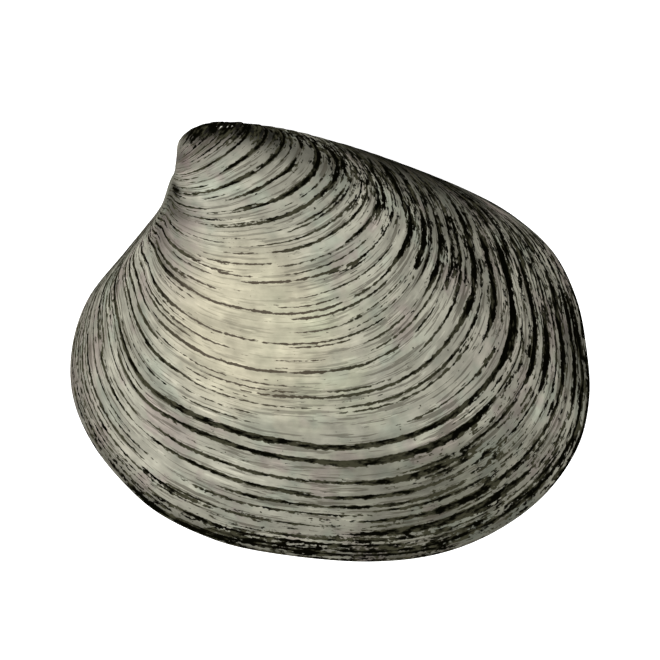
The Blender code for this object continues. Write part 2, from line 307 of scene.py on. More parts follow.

# Where the ground is creamy, greenish or mauve, in the same way. The cream patch in the middle is
# partly the shell's paler tint and partly a painted highlight
PALE_AREA = (0.290, 0.46, 0.125, 0.20, 1.0)
GREEN_AREAS = (
    (0.380, 0.40, 0.070, 0.16, 1.0),
    (0.450, 0.11, 0.070, 0.09, 0.6),
)
MAUVE_AREAS = (
    (0.130, 0.04, 0.060, 0.06, 0.6),
    (0.180, 0.60, 0.040, 0.12, 0.8),
    (0.185, 0.83, 0.050, 0.05, 0.9),
    (0.300, 0.86, 0.200, 0.05, 0.7),
    (0.560, 0.26, 0.050, 0.05, 0.4),
    (0.680, 0.02, 0.030, 0.03, 0.7),
    (0.728, 0.09, 0.018, 0.05, 1.0),
)

# The hinge teeth, as the frame's solid has them: place along the hinge and out from it,
# direction in degrees from the hinge line, length and width
TEETH = (
    (0.9, 2.2, 118, 3.0, 0.75),
    (2.9, 2.0, 84, 3.3, 1.15),
    (5.2, 1.9, 38, 5.2, 0.85),
)
TOOTH_TOP = 0.3
TOOTH_SIDE = 0.32

# Fine relief, in mm: threads on the tip of the umbo, and grooves under the strokes
THREAD_HEIGHT = 0.03
THREADS = 43.0
THREADS_FINER = 1.7
THREADS_FINE_SHARE = 0.3
THREAD_DRIFT = 2.2
THREAD_DRIFT_ROUND = 2.0
THREAD_DRIFT_BACK = 9.0
THREADS_FROM = (0.8, 0.9)
RELIEF_FROM = (0.0, 0.01)
GROOVE_DEPTH = 0.07
GROOVE_FULL = 0.22

# The marks inside: muscle scars (middle, half sizes, turn in degrees) and the mantle's line
SCARS = (
    (-24.6, 1.5, 3.0, 5.6, 12),
    (23.8, 5.4, 4.4, 4.8, -20),
)
MANTLE_LINE = (
    (-25.2, -3.6), (-24.0, -9.0), (-20.0, -14.6), (-14.0, -18.6), (-6.0, -21.0), (3.0, -21.8),
    (11.0, -20.4), (17.5, -16.8), (21.5, -12.4), (18.0, -8.6), (12.0, -4.4), (6.6, -1.0),
    (4.4, 1.2), (5.4, 3.0), (9.0, 3.4), (14.5, 2.6), (19.6, 1.4),
)
MANTLE_CLOSE = ((24.0, 40.0), (-25.2, 40.0))
MANTLE_SPAN = 6
MARK_REACH = 3.0
MARK_NEAR = (1.6, 2.8)
SCAR_DEPTH = 0.08
SCAR_SIDE = (-0.3, 0.3)
CONE_RADIUS = 32.0
CONE_LENGTH = 60.0

# The shell's colours, as they look on a screen, each part from 0 to 255
PUTTY = (152, 150, 136)
# Partly a painted highlight: the cream patch in the middle
CREAM = (178, 172, 150)
GREEN = (162, 165, 141)
MOSS = (138, 144, 130)
MAUVE = (141, 129, 123)
INK_DARK = (5, 5, 2)
INK_OLIVE = (55, 54, 41)
INK_FAINT = (70, 66, 56)
INK_PALE = (78, 71, 60)
# The colour of the painted highlight flecks on the umbo's top
PAINTED_HIGHLIGHT = (214, 212, 200)
LINING = (222, 216, 201)
LINING_DEEP = (208, 196, 176)
SCAR = (196, 184, 166)

# The usual curve of a screen's colours, straight up to its knee
SCREEN_KNEE = 0.04045
SCREEN_SLOPE = 12.92
SCREEN_OFFSET = 0.055
SCREEN_POWER = 2.4

# The sockets for colours on a mix node, which also has some for numbers and vectors
MIX_FIRST = 6
MIX_SECOND = 7
MIX_RESULT = 2

# The noise patterns: grains to a millimetre round the shell and across its growth lines,
# detail, shift and roughness
NOISE = {
    "cloud": (0.17, 0.20, 3.0, 0.0, 0.5),
    "moss": (0.20, 0.24, 3.0, 7.0, 0.5),
    "mottle": (0.5, 0.7, 4.0, 20.0, 0.5),
    "blotch": (0.24, 0.3, 4.0, 211.0, 0.5),
    "hair": (0.12, 4.2, 3.0, 83.0, 0.5),
    "wash": (0.10, 0.6, 3.0, 97.0, 0.5),
    "faint": (0.13, 3.0, 3.0, 191.0, 0.6),
    "glint": (0.14, 1.3, 3.0, 231.0, 0.5),
    "fray": (1.3, 3.4, 4.0, 5.0, 0.5),
    "gaps": (0.16, 1.1, 3.0, 11.0, 0.5),
    "chips": (1.3, 2.4, 3.0, 251.0, 0.6),
    "breaks": (0.7, 1.6, 3.0, 23.0, 0.6),
    "long streaks": (0.19, 2.0, 4.0, 31.0, 0.6),
    "fine streaks": (0.25, 4.6, 3.0, 47.0, 0.5),
    "crowded streaks": (0.22, 0.75, 3.0, 131.0, 0.6),
    "specks": (1.6, 2.2, 1.0, 151.0, 0.5),
    "wear": (0.45, 1.5, 4.0, 171.0, 0.6),
    "bands": (0.03, 0.35, 2.0, 3.0, 0.5),
    "threads": (0.06, 3.2, 3.0, 61.0, 0.5),
    "grain": (3.0, 4.0, 2.0, 71.0, 0.5),
}

# The ground between the strokes. Each FADE runs from where a pattern has no effect to where it
# has its full effect. Each BY is what a value is multiplied by, and what is then added to it.
CREAM_FADE = (0.15, 0.8)
PLAIN_MOST = 0.6
GREEN_FADE = (0.3, 0.7)
MOSS_FADE = (0.50, 0.66)
MAUVE_FADE = (0.3, 0.6)
STRAY_FADE = (0.53, 0.66)
MOTTLE_BY = (0.80, 0.60)
BLOTCH_BY = (0.60, 0.70)
SCREEN_GAMMA = 2.2
HAIR_FADE = (0.36, 0.62)
HAIR_BY = (0.08, 0.94)
WASH_FADE = (0.38, 0.64)
WASH_PALE_BY = (-0.5, 1.0)
WASH_BY = (0.28, 0.88)
FAINT_FADE = (0.56, 0.575)
FAINT_PALE_BY = (-0.40, 0.65)
# Painted highlights: the glint streaks make the ground lighter beside the strokes
GLINT_FADE = (0.61, 0.66)
GLINT_BY = (0.26, 1.0)

# The strokes' frayed sides, chips and thin places
FRAY_BY = (0.6, -0.3)
CHIPS_BY = (1.0, -0.5)
CHIPS_IN_DARK = 0.9
GAP_FADE = (0.42, 0.32)
GAP_PALE_BY = (-0.2, 0.34)
STROKE_FADE = (-0.03, 0.05)
# How the painted highlight flecks fade in
HIGHLIGHT_FLECK_FADE = (-0.06, 0.06)

# The streaks between the strokes: noise, if it is the kind for crowded growth lines, how far its
# limit falls in the dark, its limit elsewhere, its softness and its strength
STREAKS = (
    ("long streaks", False, -0.31, 0.80, 0.03, 1.0),
    ("fine streaks", False, -0.16, 0.76, 0.04, 0.8),
    ("crowded streaks", True, -0.38, 0.80, 0.03, 1.0),
)
BREAKS_BY = (0.4, -0.2)
BREAKS_CHIPS = 0.45
OPEN_BY = (-0.45, 1.0)
SPECK_FADE = (0.77, 0.80)

# The wear that turns the ink from black to olive
WEAR_IN_DARK = 0.12
WEAR_IN_GREEN = 0.12
BOLD_FADE = (0.10, 0.24)
BOLD_PALE_BY = (-0.10, 0.10)
OLIVE_FADE = (0.34, 0.50)
INK_PALE_FADE = (0.3, 0.75)

# The lining and the gloss
INNER_FADE = (0.3, 0.7)
MANTLE_FADE = (0.85, 0.25)
SCAR_FADE = (-0.4, 0.5)
BAND_FADE = (0.3, 0.75)
OUTSIDE_ROUGHNESS = 0.62
LINING_ROUGHNESS = 0.34
LINING_COAT = 0.4
LINING_COAT_ROUGHNESS = 0.3

# The finest relief of the outside, finer than the mesh, and its depth in metres
BUMP_GRAIN = 0.25
BUMP_INK = 0.3
BUMP_STRENGTH = 0.5
BUMP_DEPTH = 0.00012

# The floor, the lights and the camera, in metres, with the sensor's width in mm
FLOOR_SIZE = 6.0
FLOOR_COLOUR = (0.9, 0.9, 0.9, 1.0)
FLOOR_ROUGHNESS = 0.9
CAMERA_HEIGHT = 1.5
PHOTO_WIDTH = 0.0891
PHOTO_MIDDLE = (0.0, 0.00162)
SENSOR = 36.0
CLIP_START = 0.01
CLIP_END = 20.0
KEY_PLACE = (-0.40, -0.10, 0.62)
KEY_SIZE = 0.6
KEY_POWER = 4.8
SKY_COLOUR = (1.0, 1.0, 1.0, 1.0)
SKY_STRENGTH = 0.70
FLOOR_GLOW = 0.8


def smooth_fade(value, start, end):
    """1 up to start, 0 from end on, with a smooth fall between them."""
    t = np.clip((value - start) / (end - start), 0.0, 1.0)
    return 1.0 - t * t * (3.0 - 2.0 * t)


def span_points(before, first, second, after, count):
    """Points from first towards second on a centripetal Catmull-Rom curve."""
    knots = [0.0]
    for start, end in ((before, first), (first, second), (second, after)):
        knots.append(knots[-1] + math.sqrt(np.linalg.norm(end - start)))
    k0, k1, k2, k3 = knots
    t = np.linspace(k1, k2, count, endpoint=False)[:, None]
    a1 = (k1 - t) / (k1 - k0) * before + (t - k0) / (k1 - k0) * first
    a2 = (k2 - t) / (k2 - k1) * first + (t - k1) / (k2 - k1) * second
    a3 = (k3 - t) / (k3 - k2) * second + (t - k2) / (k3 - k2) * after
    b1 = (k2 - t) / (k2 - k0) * a1 + (t - k0) / (k2 - k0) * a2
    b2 = (k3 - t) / (k3 - k1) * a2 + (t - k1) / (k3 - k1) * a3
    return (k2 - t) / (k2 - k1) * b1 + (t - k1) / (k2 - k1) * b2


def curve_through(points, count):
    """Points along a smooth open curve through the given ones, count of them for each span."""
    guide = [np.array(point) for point in points]
    guide = [2.0 * guide[0] - guide[1]] + guide + [2.0 * guide[-1] - guide[-2]]
    spans = [span_points(*guide[i:i + 4], count) for i in range(len(guide) - 3)]
    return list(np.concatenate(spans)) + [guide[-2]]


def edge_outline(places):
    """The points of the closed edge at these places, each from 0 to 1 along it."""
    guide = [np.array(point) for point in EDGE]
    total = len(guide)
    spans = []
    for i in range(total):
        neighbours = [guide[(i + step) % total] for step in (-1, 0, 1, 2)]
        spans.append(span_points(*neighbours, OUTLINE_DENSITY))
    dense = np.concatenate(spans)
    closed = np.vstack([dense, dense[:1]])
    lengths = np.linalg.norm(np.diff(closed, axis=0), axis=1)
    travelled = np.concatenate([[0.0], np.cumsum(lengths)])
    wanted = places * travelled[-1]
    columns = [np.interp(wanted, travelled, closed[:, axis]) for axis in (0, 1)]
    return np.stack(columns, axis=1)


def edge_places():
    """Places round the edge, closer together along the hinge, where the teeth are."""
    fine = np.linspace(0.0, 1.0, PLACE_STEPS)
    weight = np.where(fine > HINGE_FROM, HINGE_CLOSER, 1.0)
    total = np.concatenate([[0.0], np.cumsum((weight[1:] + weight[:-1]) / 2)])
    return np.interp(np.arange(AROUND) / AROUND, total / total[-1], fine)


def along_and_out(points):
    """Each point's place along the hinge line, and its distance from it towards the belly."""
    dx = points[:, 0] - POLE[0]
    dy = points[:, 1] - POLE[1]
    along = dx * math.cos(HINGE_TILT) + dy * math.sin(HINGE_TILT)
    out = dx * math.sin(HINGE_TILT) - dy * math.cos(HINGE_TILT)
    return along, out


def stage_size(turn):
    """The valve's size at a turn back from the edge, as a share of its full size."""
    return np.exp(-(SHRINK * turn + SHRINK_GAIN * turn * turn))


def turn_of(share):
    """The turn of the stage that had this share of the full size still to grow."""
    shrunk = -np.log(1.0 - share)
    return (np.sqrt(SHRINK ** 2 + 4.0 * SHRINK_GAIN * shrunk) - SHRINK) / (2.0 * SHRINK_GAIN)


def growth_ring(points, turn, stretch):
    """The outline at an earlier stage of growth, turn radians back from the edge."""
    along, out = along_and_out(points)
    size = stage_size(turn)
    u = size * (np.exp(-HINGE_SHRINK * turn) * along + LEAN * np.sin(turn) * out)
    v = size * out * np.cos(turn)
    swing = HINGE_TILT + TWIST * turn
    x = POLE[0] + u * np.cos(swing) + v * np.sin(swing)
    y = POLE[1] + u * np.sin(swing) - v * np.cos(swing)
    z = size * out * np.sin(turn) * stretch
    return np.stack([x, y, z], axis=1)


def ring_slope(points, turn, stretch):
    """The outside's unit normal at each point of a ring, and how fast the shell grew there."""
    ring = growth_ring(points, turn, stretch)
    around = np.roll(ring, -1, axis=0) - np.roll(ring, 1, axis=0)
    back = growth_ring(points, turn + SLOPE_STEP, stretch)
    back = back - growth_ring(points, turn - SLOPE_STEP, stretch)
    normal = np.cross(around, back)
    normal = normal / np.linalg.norm(normal, axis=1, keepdims=True)
    return normal, np.linalg.norm(back, axis=1) / (2.0 * SLOPE_STEP)


def soft_spot(place, share, spot):
    """One soft round patch of the outside, which has its full amount in its middle."""
    at, level, wide, deep, amount = spot
    aside = (place - at + 0.5) % 1.0 - 0.5
    return amount * np.exp(-(aside / wide) ** 2 - ((share - level) / deep) ** 2)


def round_the_edge(place, points):
    """The value at each place round the edge, from (place, value) points from 0 to 1."""
    return np.interp(place, *zip(*points))


def growth_line(place, share):
    """The growth line through each point: its share still to grow, less the local waves."""
    shift = sum(soft_spot(place, share, wave) for wave in WAVES)
    shift = shift + round_the_edge(place, UMBO_TILT) * (1.0 - smooth_fade(share, *UMBO_TILT_FROM))
    front = smooth_fade(place, *FRONT_BEND_AFTER) + 1.0 - smooth_fade(place, *FRONT_BEND_BEFORE)
    shift = shift - FRONT_BEND * front * np.sin(math.pi * share)
    return share - shift * (1.0 - smooth_fade(share, *EDGE_STRAIGHT))


def spots_sum(place, share, spots):
    """All the soft patches of one list together."""
    return sum(soft_spot(place, share, spot) for spot in spots)


def ink_depth(place, line, speed, strokes):
    """How deep each point is inside a stroke, in millimetres, and less than 0 outside all."""
    size = 1.0 - line
    per_share = speed / np.maximum(SHRINK * size, SIZE_LEAST)
    deepest = np.full(line.shape, -INK_REACH)
    slow = smooth_fade(speed / size, *STROKE_SLOW)
    swell = STROKE_SWELL * (1.0 - (1.0 - STROKE_SLOW_WIDTH) * slow)
    for at, first, last, width in strokes:
        if first < FRONT_STROKE:
            first = first - FRONT_REACH
        run_in = UMBO_RUN_IN if at > UMBO_TILT_FROM[0] else STROKE_END
        from_end = np.minimum((place - first) / run_in, (last - place) / STROKE_END)
        fullness = np.clip(from_end, -1.0, 1.0)
        half = width / 2 * (STROKE_LEAST + (1.0 - STROKE_LEAST) * np.clip(fullness, 0.0, 1.0))
        half = half * swell
        depth = half - np.abs(line - at) * per_share + np.minimum(fullness, 0.0) * INK_REACH
        deepest = np.maximum(deepest, depth)
    return np.clip(deepest, -INK_REACH, INK_REACH)


def ledge_lift(line):
    """The height of the growth ledges at each growth line: steep towards the edge."""
    kinds = ((BOLD_STEPS, BOLD_HEIGHT), (FINE_STEPS, FINE_HEIGHT), (UMBO_STEPS, UMBO_HEIGHT))
    steps = sorted((share, height) for shares, height in kinds for share in shares)
    turn = turn_of(np.clip(line, 0.0, LEDGE_LINE_MOST))
    starts = [turn_of(share) for share, height in steps]
    ends = starts[1:] + [turn_of(LEDGES_END)]
    lift = np.zeros(line.shape)
    for (share, height), start, end in zip(steps, starts, ends):
        top = start + LEDGE_TURN
        rise = np.clip((turn - start) / LEDGE_TURN, 0.0, 1.0)
        fall = np.clip((end - turn) / (end - top), 0.0, 1.0)
        inside = (turn >= start) & (turn < end)
        lift = np.where(inside, height * np.minimum(rise, fall), lift)
    return lift * np.sqrt(stage_size(turn))


def share_on_line(place, line):
    """The share still to grow at each place on one growth line, waves and all."""
    share = np.full(place.shape, float(line))
    for step in range(LINE_SOLVE_STEPS):
        share = np.clip(share + line - growth_line(place, share), 0.0, SHARE_MOST)
    return share


def outside_lines():
    """The growth lines that get a ring of points: ledges, strokes, and fill between them."""
    last = 1.0 - float(stage_size(BEAK_TURN))
    lines = [0.0, last]
    for share in BOLD_STEPS + FINE_STEPS + UMBO_STEPS:
        lines.append(share)
        crest = float(turn_of(share)) + LEDGE_TURN
        lines.append(1.0 - float(stage_size(crest)))
    for at in sorted({stroke[0] for stroke in STROKES}):
        if min(abs(at - line) for line in lines) > RING_LEAST:
            lines.append(at)
    lines.sort()
    spare = OUTSIDE_RINGS - len(lines)
    gaps = np.diff(lines)
    room = np.ones(len(gaps))
    for ring in range(spare):
        room[np.argmax(gaps / room)] += 1
    parts = [np.linspace(a, b, int(count), endpoint=False)
             for a, b, count in zip(lines[:-1], lines[1:], room)]
    return np.concatenate(parts + [[last]])


def thread_lift(place, line):
    """Fine uneven ridges along the growth lines of the umbo's tip."""
    round_turns = 2.0 * math.pi * THREAD_DRIFT_ROUND * place
    drift = THREAD_DRIFT * np.sin(round_turns + THREAD_DRIFT_BACK * line)
    coarse = np.sin(2.0 * math.pi * THREADS * line + drift)
    fine = np.sin(2.0 * math.pi * THREADS_FINER * THREADS * line - drift)
    mixed = (1.0 - THREADS_FINE_SHARE) * coarse + THREADS_FINE_SHARE * fine
    return THREAD_HEIGHT * mixed * (1.0 - smooth_fade(line, *THREADS_FROM))


def outside_rings(places, outline, stretch):
    """The outside's rings from the edge to the beak, each with the values its look needs."""
    rings = []
    for line in outside_lines():
        share = share_on_line(places, line)
        turn = turn_of(share)
        normal, speed = ring_slope(outline, turn, stretch)
        swell = (speed / speed.max()) ** SPEED_POWER
        lines = np.full(places.shape, line)
        ink = ink_depth(places, lines, speed, STROKES)
        highlight_fleck = ink_depth(places, lines, speed, HIGHLIGHT_FLECKS)
        lift = ledge_lift(lines) + thread_lift(places, lines)
        lift = lift - GROOVE_DEPTH * np.clip(ink / GROOVE_FULL, 0.0, 1.0)
        lift = lift * (1.0 - smooth_fade(line, *RELIEF_FROM))
        points = growth_ring(outline, turn, stretch) + (lift * swell)[:, None] * normal
        slow = smooth_fade(speed / (1.0 - line), *CROWDED)
        rings.append({
            "points": points,
            "share": share,
            "line": lines,
            "ink": ink,
            "highlight_fleck": highlight_fleck,
            "slow": slow,
        })
    return rings


def moved_in(outline, widths):
    """The outline drawn in towards the middle of the hollow by a width at each point."""
    centre = np.array(HOLLOW_CENTRE)
    arms = outline - centre
    lengths = np.linalg.norm(arms, axis=1, keepdims=True)
    return centre + arms * (1.0 - widths[:, None] / lengths)


def plate_share(outline):
    """1 on the hinge plate under the beak, fading out to the front and the back."""
    along, out = along_and_out(outline)
    return smooth_fade(out, *PLATE_BELLY) * smooth_fade(along, *PLATE_BACK)


def tooth_share(points):
    """1 on top of a hinge tooth, falling to 0 at its foot."""
    along, out = along_and_out(points)
    share = np.zeros(len(points))
    for start_along, start_out, direction, length, width in TEETH:
        angle = math.radians(direction)
        da = along - start_along
        do = out - start_out
        forward = da * math.cos(angle) + do * math.sin(angle)
        aside = np.abs(do * math.cos(angle) - da * math.sin(angle))
        inside = np.minimum(width / 2 - aside, np.minimum(forward, length - forward))
        share = np.maximum(share, 1.0 - smooth_fade(inside, -TOOTH_SIDE / 2, TOOTH_SIDE / 2))
    return share


def inside_rings(outline, stretch):
    """The flat edge, the hinge plate with its teeth, and the hollow up to its rounded end."""
    share = plate_share(outline)
    none = np.zeros(len(outline))
    flat = growth_ring(moved_in(outline, FLAT_EDGE + none), 0.0, stretch)
    flat[:, 2] = 0.0
    rings = [flat]
    outer = FLAT_EDGE + EDGE_BEVEL + PLATE_STEP * share
    outer_rise = EDGE_BEVEL + (PLATE_RISE - EDGE_BEVEL) * share
    wall = WALL + PLATE_WIDTH * share
    wall_rise = 2 * EDGE_BEVEL + (PLATE_RISE - 2 * EDGE_BEVEL) * share
    for part in np.linspace(0.0, 1.0, PLATE_RINGS):
        ring = growth_ring(moved_in(outline, outer + (wall - outer) * part), 0.0, stretch)
        rise = outer_rise + (wall_rise - outer_rise) * part
        top = np.minimum(rise, TOOTH_TOP)
        ring[:, 2] = rise + (top - rise) * tooth_share(ring)
        rings.append(ring)
    for part in np.linspace(0.0, 1.0, HOLLOW_RINGS + 1)[1:]:
        turn = HOLLOW_TURN * part ** HOLLOW_CLOSER
        ring = growth_ring(moved_in(outline, wall / stage_size(turn)), turn, stretch)
        ring[:, 2] += wall_rise * (1.0 - turn / HOLLOW_TURN)
        rings.append(ring)
    last = rings[-1]
    middle = last.mean(axis=0)
    axis = growth_ring(np.array([HOLLOW_CENTRE]), HOLLOW_CAP_TURN, stretch)[0] - middle
    for angle in np.linspace(0.0, math.pi / 2, CAP_RINGS + 2)[1:-1]:
        rings.append(middle + (last - middle) * math.cos(angle) + axis * math.sin(angle))
    return rings, middle + axis


def segment_distance(points, start, end):
    """Each point's distance from a straight piece of a path."""
    along = end - start
    part = np.clip((points - start) @ along / (along @ along), 0.0, 1.0)
    return np.linalg.norm(points - start - part[:, None] * along, axis=1)


def inside_path(points, path):
    """True for each point that lies inside a closed path."""
    inside = np.zeros(len(points), dtype=bool)
    for start, end in zip(path, path[1:] + path[:1]):
        crosses = (start[1] > points[:, 1]) != (end[1] > points[:, 1])
        rise = end[1] - start[1]
        at = start[0] + (points[:, 1] - start[1]) * (end[0] - start[0]) / (rise if rise else 1.0)
        inside ^= crosses & (points[:, 0] < at)
    return inside


def mantle_distance(points):
    """The distance to the mantle's line in mm, less than 0 outside it, and 1 near the line."""
    path = curve_through(MANTLE_LINE, MANTLE_SPAN)
    away = np.full(len(points), MARK_REACH)
    for start, end in zip(path, path[1:]):
        away = np.minimum(away, segment_distance(points[:, :2], start, end))
    closed = path + [np.array(point) for point in MANTLE_CLOSE]
    return np.where(inside_path(points, closed), away, -away), smooth_fade(away, *MARK_NEAR)


def scar_depth(points):
    """How far each point of the hollow is inside a muscle scar, in mm."""
    depth = np.full(len(points), -MARK_REACH)
    for x, y, half_x, half_y, turn in SCARS:
        angle = math.radians(turn)
        dx = points[:, 0] - x
        dy = points[:, 1] - y
        u = (dx * math.cos(angle) + dy * math.sin(angle)) / half_x
        v = (dy * math.cos(angle) - dx * math.sin(angle)) / half_y
        depth = np.maximum(depth, (1.0 - np.hypot(u, v)) * min(half_x, half_y))
    return depth


def outside_row(places, ring, shift):
    """One ring of the outside, with what the material needs to know at each of its points."""
    share = ring["share"]
    # Partly painted shade: more streaks on the rims, the back slope and the umbo's top
    dark = np.clip(spots_sum(places, share, DARK_AREAS), 0.0, DARK_MOST)
    pale = soft_spot(places, share, PALE_AREA)
    green = np.clip(spots_sum(places, share, GREEN_AREAS), 0.0, 1.0)
    mauve = np.clip(spots_sum(places, share, MAUVE_AREAS), 0.0, 1.0)
    # Painted shade, and a painted highlight strip where an amount is below 0
    shade = 1.0 - spots_sum(places, share, SHADED_AREAS)
    return {
        "points": ring["points"] + shift,
        "place": cone_place(places, share, ring["line"]),
        "ink": ring["ink"],
        "highlight_fleck": ring["highlight_fleck"],
        "dark": DARK_EVERYWHERE + (1.0 - DARK_EVERYWHERE) * dark,
        "slow": ring["slow"],
        "shade": np.maximum(shade, SHADE_LEAST),
        "tint": np.stack([pale, green, mauve], axis=1),
        "inner": np.zeros(AROUND),
    }


def inside_row(places, points, share, hollow):
    """One ring of the inside, whose scars are sunk into the hollow.

    Here ink is the distance from the mantle's line, dark is how far a point is inside a scar,
    and slow is 1 near the mantle's line.
    """
    points = points.copy()
    scars = scar_depth(points)
    points[:, 2] += SCAR_DEPTH * (1.0 - smooth_fade(scars, *SCAR_SIDE)) * hollow
    away, near = mantle_distance(points)
    shares = np.full(AROUND, share)
    return {
        "points": points,
        "place": cone_place(places, shares, shares),
        "ink": away,
        "highlight_fleck": np.full(AROUND, -INK_REACH),
        "dark": scars,
        "slow": near,
        "shade": np.ones(AROUND),
        "tint": np.zeros((AROUND, 3)),
        "inner": np.ones(AROUND),
    }


def skin_rows():
    """The whole skin, ring by ring from the beak to the end of the hollow, and its two tips."""
    places = edge_places()
    outline = edge_outline(places)
    tops = [ring["points"][:, 2].max() for ring in outside_rings(places, outline, 1.0)]
    stretch = (CAD_BOX[1][2] - CAD_BOX[0][2]) / MM / max(tops)
    outside = outside_rings(places, outline, stretch)
    inside, hollow_tip = inside_rings(outline, stretch)
    every = np.concatenate([ring["points"] for ring in outside])
    middle = (every.min(axis=0) + every.max(axis=0)) / 2
    shift = np.array([-middle[0], -middle[1], 0.0])
    beak_tip = growth_ring(np.array([HOLLOW_CENTRE]), BEAK_TURN, stretch)[0]
    rows = [outside_row(places, ring, shift) for ring in outside[::-1]]
    for number, points in enumerate(inside):
        share = number / len(inside)
        rows.append(inside_row(places, points + shift, share, number > PLATE_RINGS))
    return rows, beak_tip + shift, hollow_tip + shift


def cone_place(place, share, line):
    """A seamless place on a cone that is about as long and as wide as the shell, in mm."""
    angle = 2.0 * math.pi * place
    radius = CONE_RADIUS * (1.0 - share)
    return np.stack([radius * np.cos(angle), radius * np.sin(angle), CONE_LENGTH * line], axis=1)


def skin_mesh():
    """The closed mesh of the valve, with the material's values stored at its points."""
    rows, beak_tip, hollow_tip = skin_rows()
    count = len(rows)
    points = np.concatenate([row["points"] for row in rows] + [beak_tip[None], hollow_tip[None]])
    ring = np.arange(AROUND)
    after = (ring + 1) % AROUND
    faces = []
    for row in range(count - 1):
        first = row * AROUND
        second = first + AROUND
        quads = np.stack([first + ring, first + after, second + after, second + ring], axis=1)
        faces.extend(quads.tolist())
    beak = count * AROUND
    last = (count - 1) * AROUND
    for i in range(AROUND):
        faces.append((int(after[i]), i, beak))
        faces.append((last + i, last + int(after[i]), beak + 1))
    mesh = bpy.data.meshes.new("shell_valve")
    mesh.from_pydata((points * MM).tolist(), [], faces)
    for name in ("place", "tint", "ink", "highlight_fleck", "dark", "slow", "shade", "inner"):
        data = np.concatenate([row[name] for row in rows])
        data = np.concatenate([data, data[[0, -1]]]).astype(np.float32)
        kind, field = ("FLOAT_VECTOR", "vector") if data.ndim == 2 else ("FLOAT", "value")
        attribute = mesh.attributes.new(name, kind, "POINT")
        attribute.data.foreach_set(field, data.ravel())
    mesh.shade_smooth()
    mesh.set_sharp_from_angle(angle=SHARP_ANGLE)
    mesh.update()
    return mesh


def linear(red, green, blue):
    """A colour as it looks on a screen, from the usual screen curve to what a shader takes."""
    values = np.array([red, green, blue]) / 255.0
    curved = ((values + SCREEN_OFFSET) / (1.0 + SCREEN_OFFSET)) ** SCREEN_POWER
    values = np.where(values <= SCREEN_KNEE, values / SCREEN_SLOPE, curved)
    return (*values.tolist(), 1.0)


class Nodes:
    """Short ways to add the few kinds of shader node that the shell's material uses."""

    def __init__(self, material):
        material.use_nodes = True
        self.tree = material.node_tree
        self.shader = self.tree.nodes["Principled BSDF"]

    def link(self, value, socket):
        """Gives a socket another node's output, a colour as it looks on a screen, or a number."""
        if isinstance(value, bpy.types.NodeSocket):
            self.tree.links.new(value, socket)
        elif isinstance(value, tuple):
            socket.default_value = linear(*value)
        else:
            socket.default_value = value

    def attribute(self, name, output="Fac"):
        """A value that is stored at the mesh's points."""
        node = self.tree.nodes.new("ShaderNodeAttribute")
        node.attribute_name = name
        return node.outputs[output]

    def parts(self, vector):
        """The three parts of a vector."""
        node = self.tree.nodes.new("ShaderNodeSeparateXYZ")
        self.link(vector, node.inputs[0])
        return node.outputs[0], node.outputs[1], node.outputs[2]

    def noise(self, place, kind):
        """One of the noise patterns, stretched along the growth lines."""
        round_scale, across_scale, detail, offset, roughness = NOISE[kind]
        stretch = self.tree.nodes.new("ShaderNodeVectorMath")
        stretch.operation = "MULTIPLY_ADD"
        self.link(place, stretch.inputs[0])
        stretch.inputs[1].default_value = (round_scale, round_scale, across_scale)
        stretch.inputs[2].default_value = (offset, offset, offset)
        node = self.tree.nodes.new("ShaderNodeTexNoise")
        node.inputs["Scale"].default_value = 1.0
        node.inputs["Detail"].default_value = detail
        node.inputs["Roughness"].default_value = roughness
        self.link(stretch.outputs[0], node.inputs["Vector"])
        return node.outputs["Fac"]

    def maths(self, operation, first, second=0.0, clamp=False):
        """Two values, or one, put through one operation."""
        node = self.tree.nodes.new("ShaderNodeMath")
        node.operation = operation
        node.use_clamp = clamp
        self.link(first, node.inputs[0])
        self.link(second, node.inputs[1])
        return node.outputs[0]

    def add_product(self, value, times, plus):
        """The value times one number, plus another."""
        node = self.tree.nodes.new("ShaderNodeMath")
        node.operation = "MULTIPLY_ADD"
        self.link(value, node.inputs[0])
        node.inputs[1].default_value = times
        node.inputs[2].default_value = plus
        return node.outputs[0]

    def step(self, value, low, high):
        """0 where the value is at low, 1 where it is at high, and between them in between."""
        node = self.tree.nodes.new("ShaderNodeMapRange")
        node.interpolation_type = "SMOOTHSTEP"
        self.link(value, node.inputs["Value"])
        self.link(low, node.inputs["From Min"])
        self.link(high, node.inputs["From Max"])
        return node.outputs["Result"]

    def blend(self, factor, first, second):
        """The first colour where the factor is 0, the second where it is 1."""
        node = self.tree.nodes.new("ShaderNodeMix")
        node.data_type = "RGBA"
        self.link(factor, node.inputs["Factor"])
        self.link(first, node.inputs[MIX_FIRST])
        self.link(second, node.inputs[MIX_SECOND])
        return node.outputs[MIX_RESULT]

    def shade(self, colour, value):
        """A colour times a brightness."""
        node = self.tree.nodes.new("ShaderNodeVectorMath")
        node.operation = "SCALE"
        self.link(colour, node.inputs[0])
        self.link(value, node.inputs["Scale"])
        return node.outputs[0]


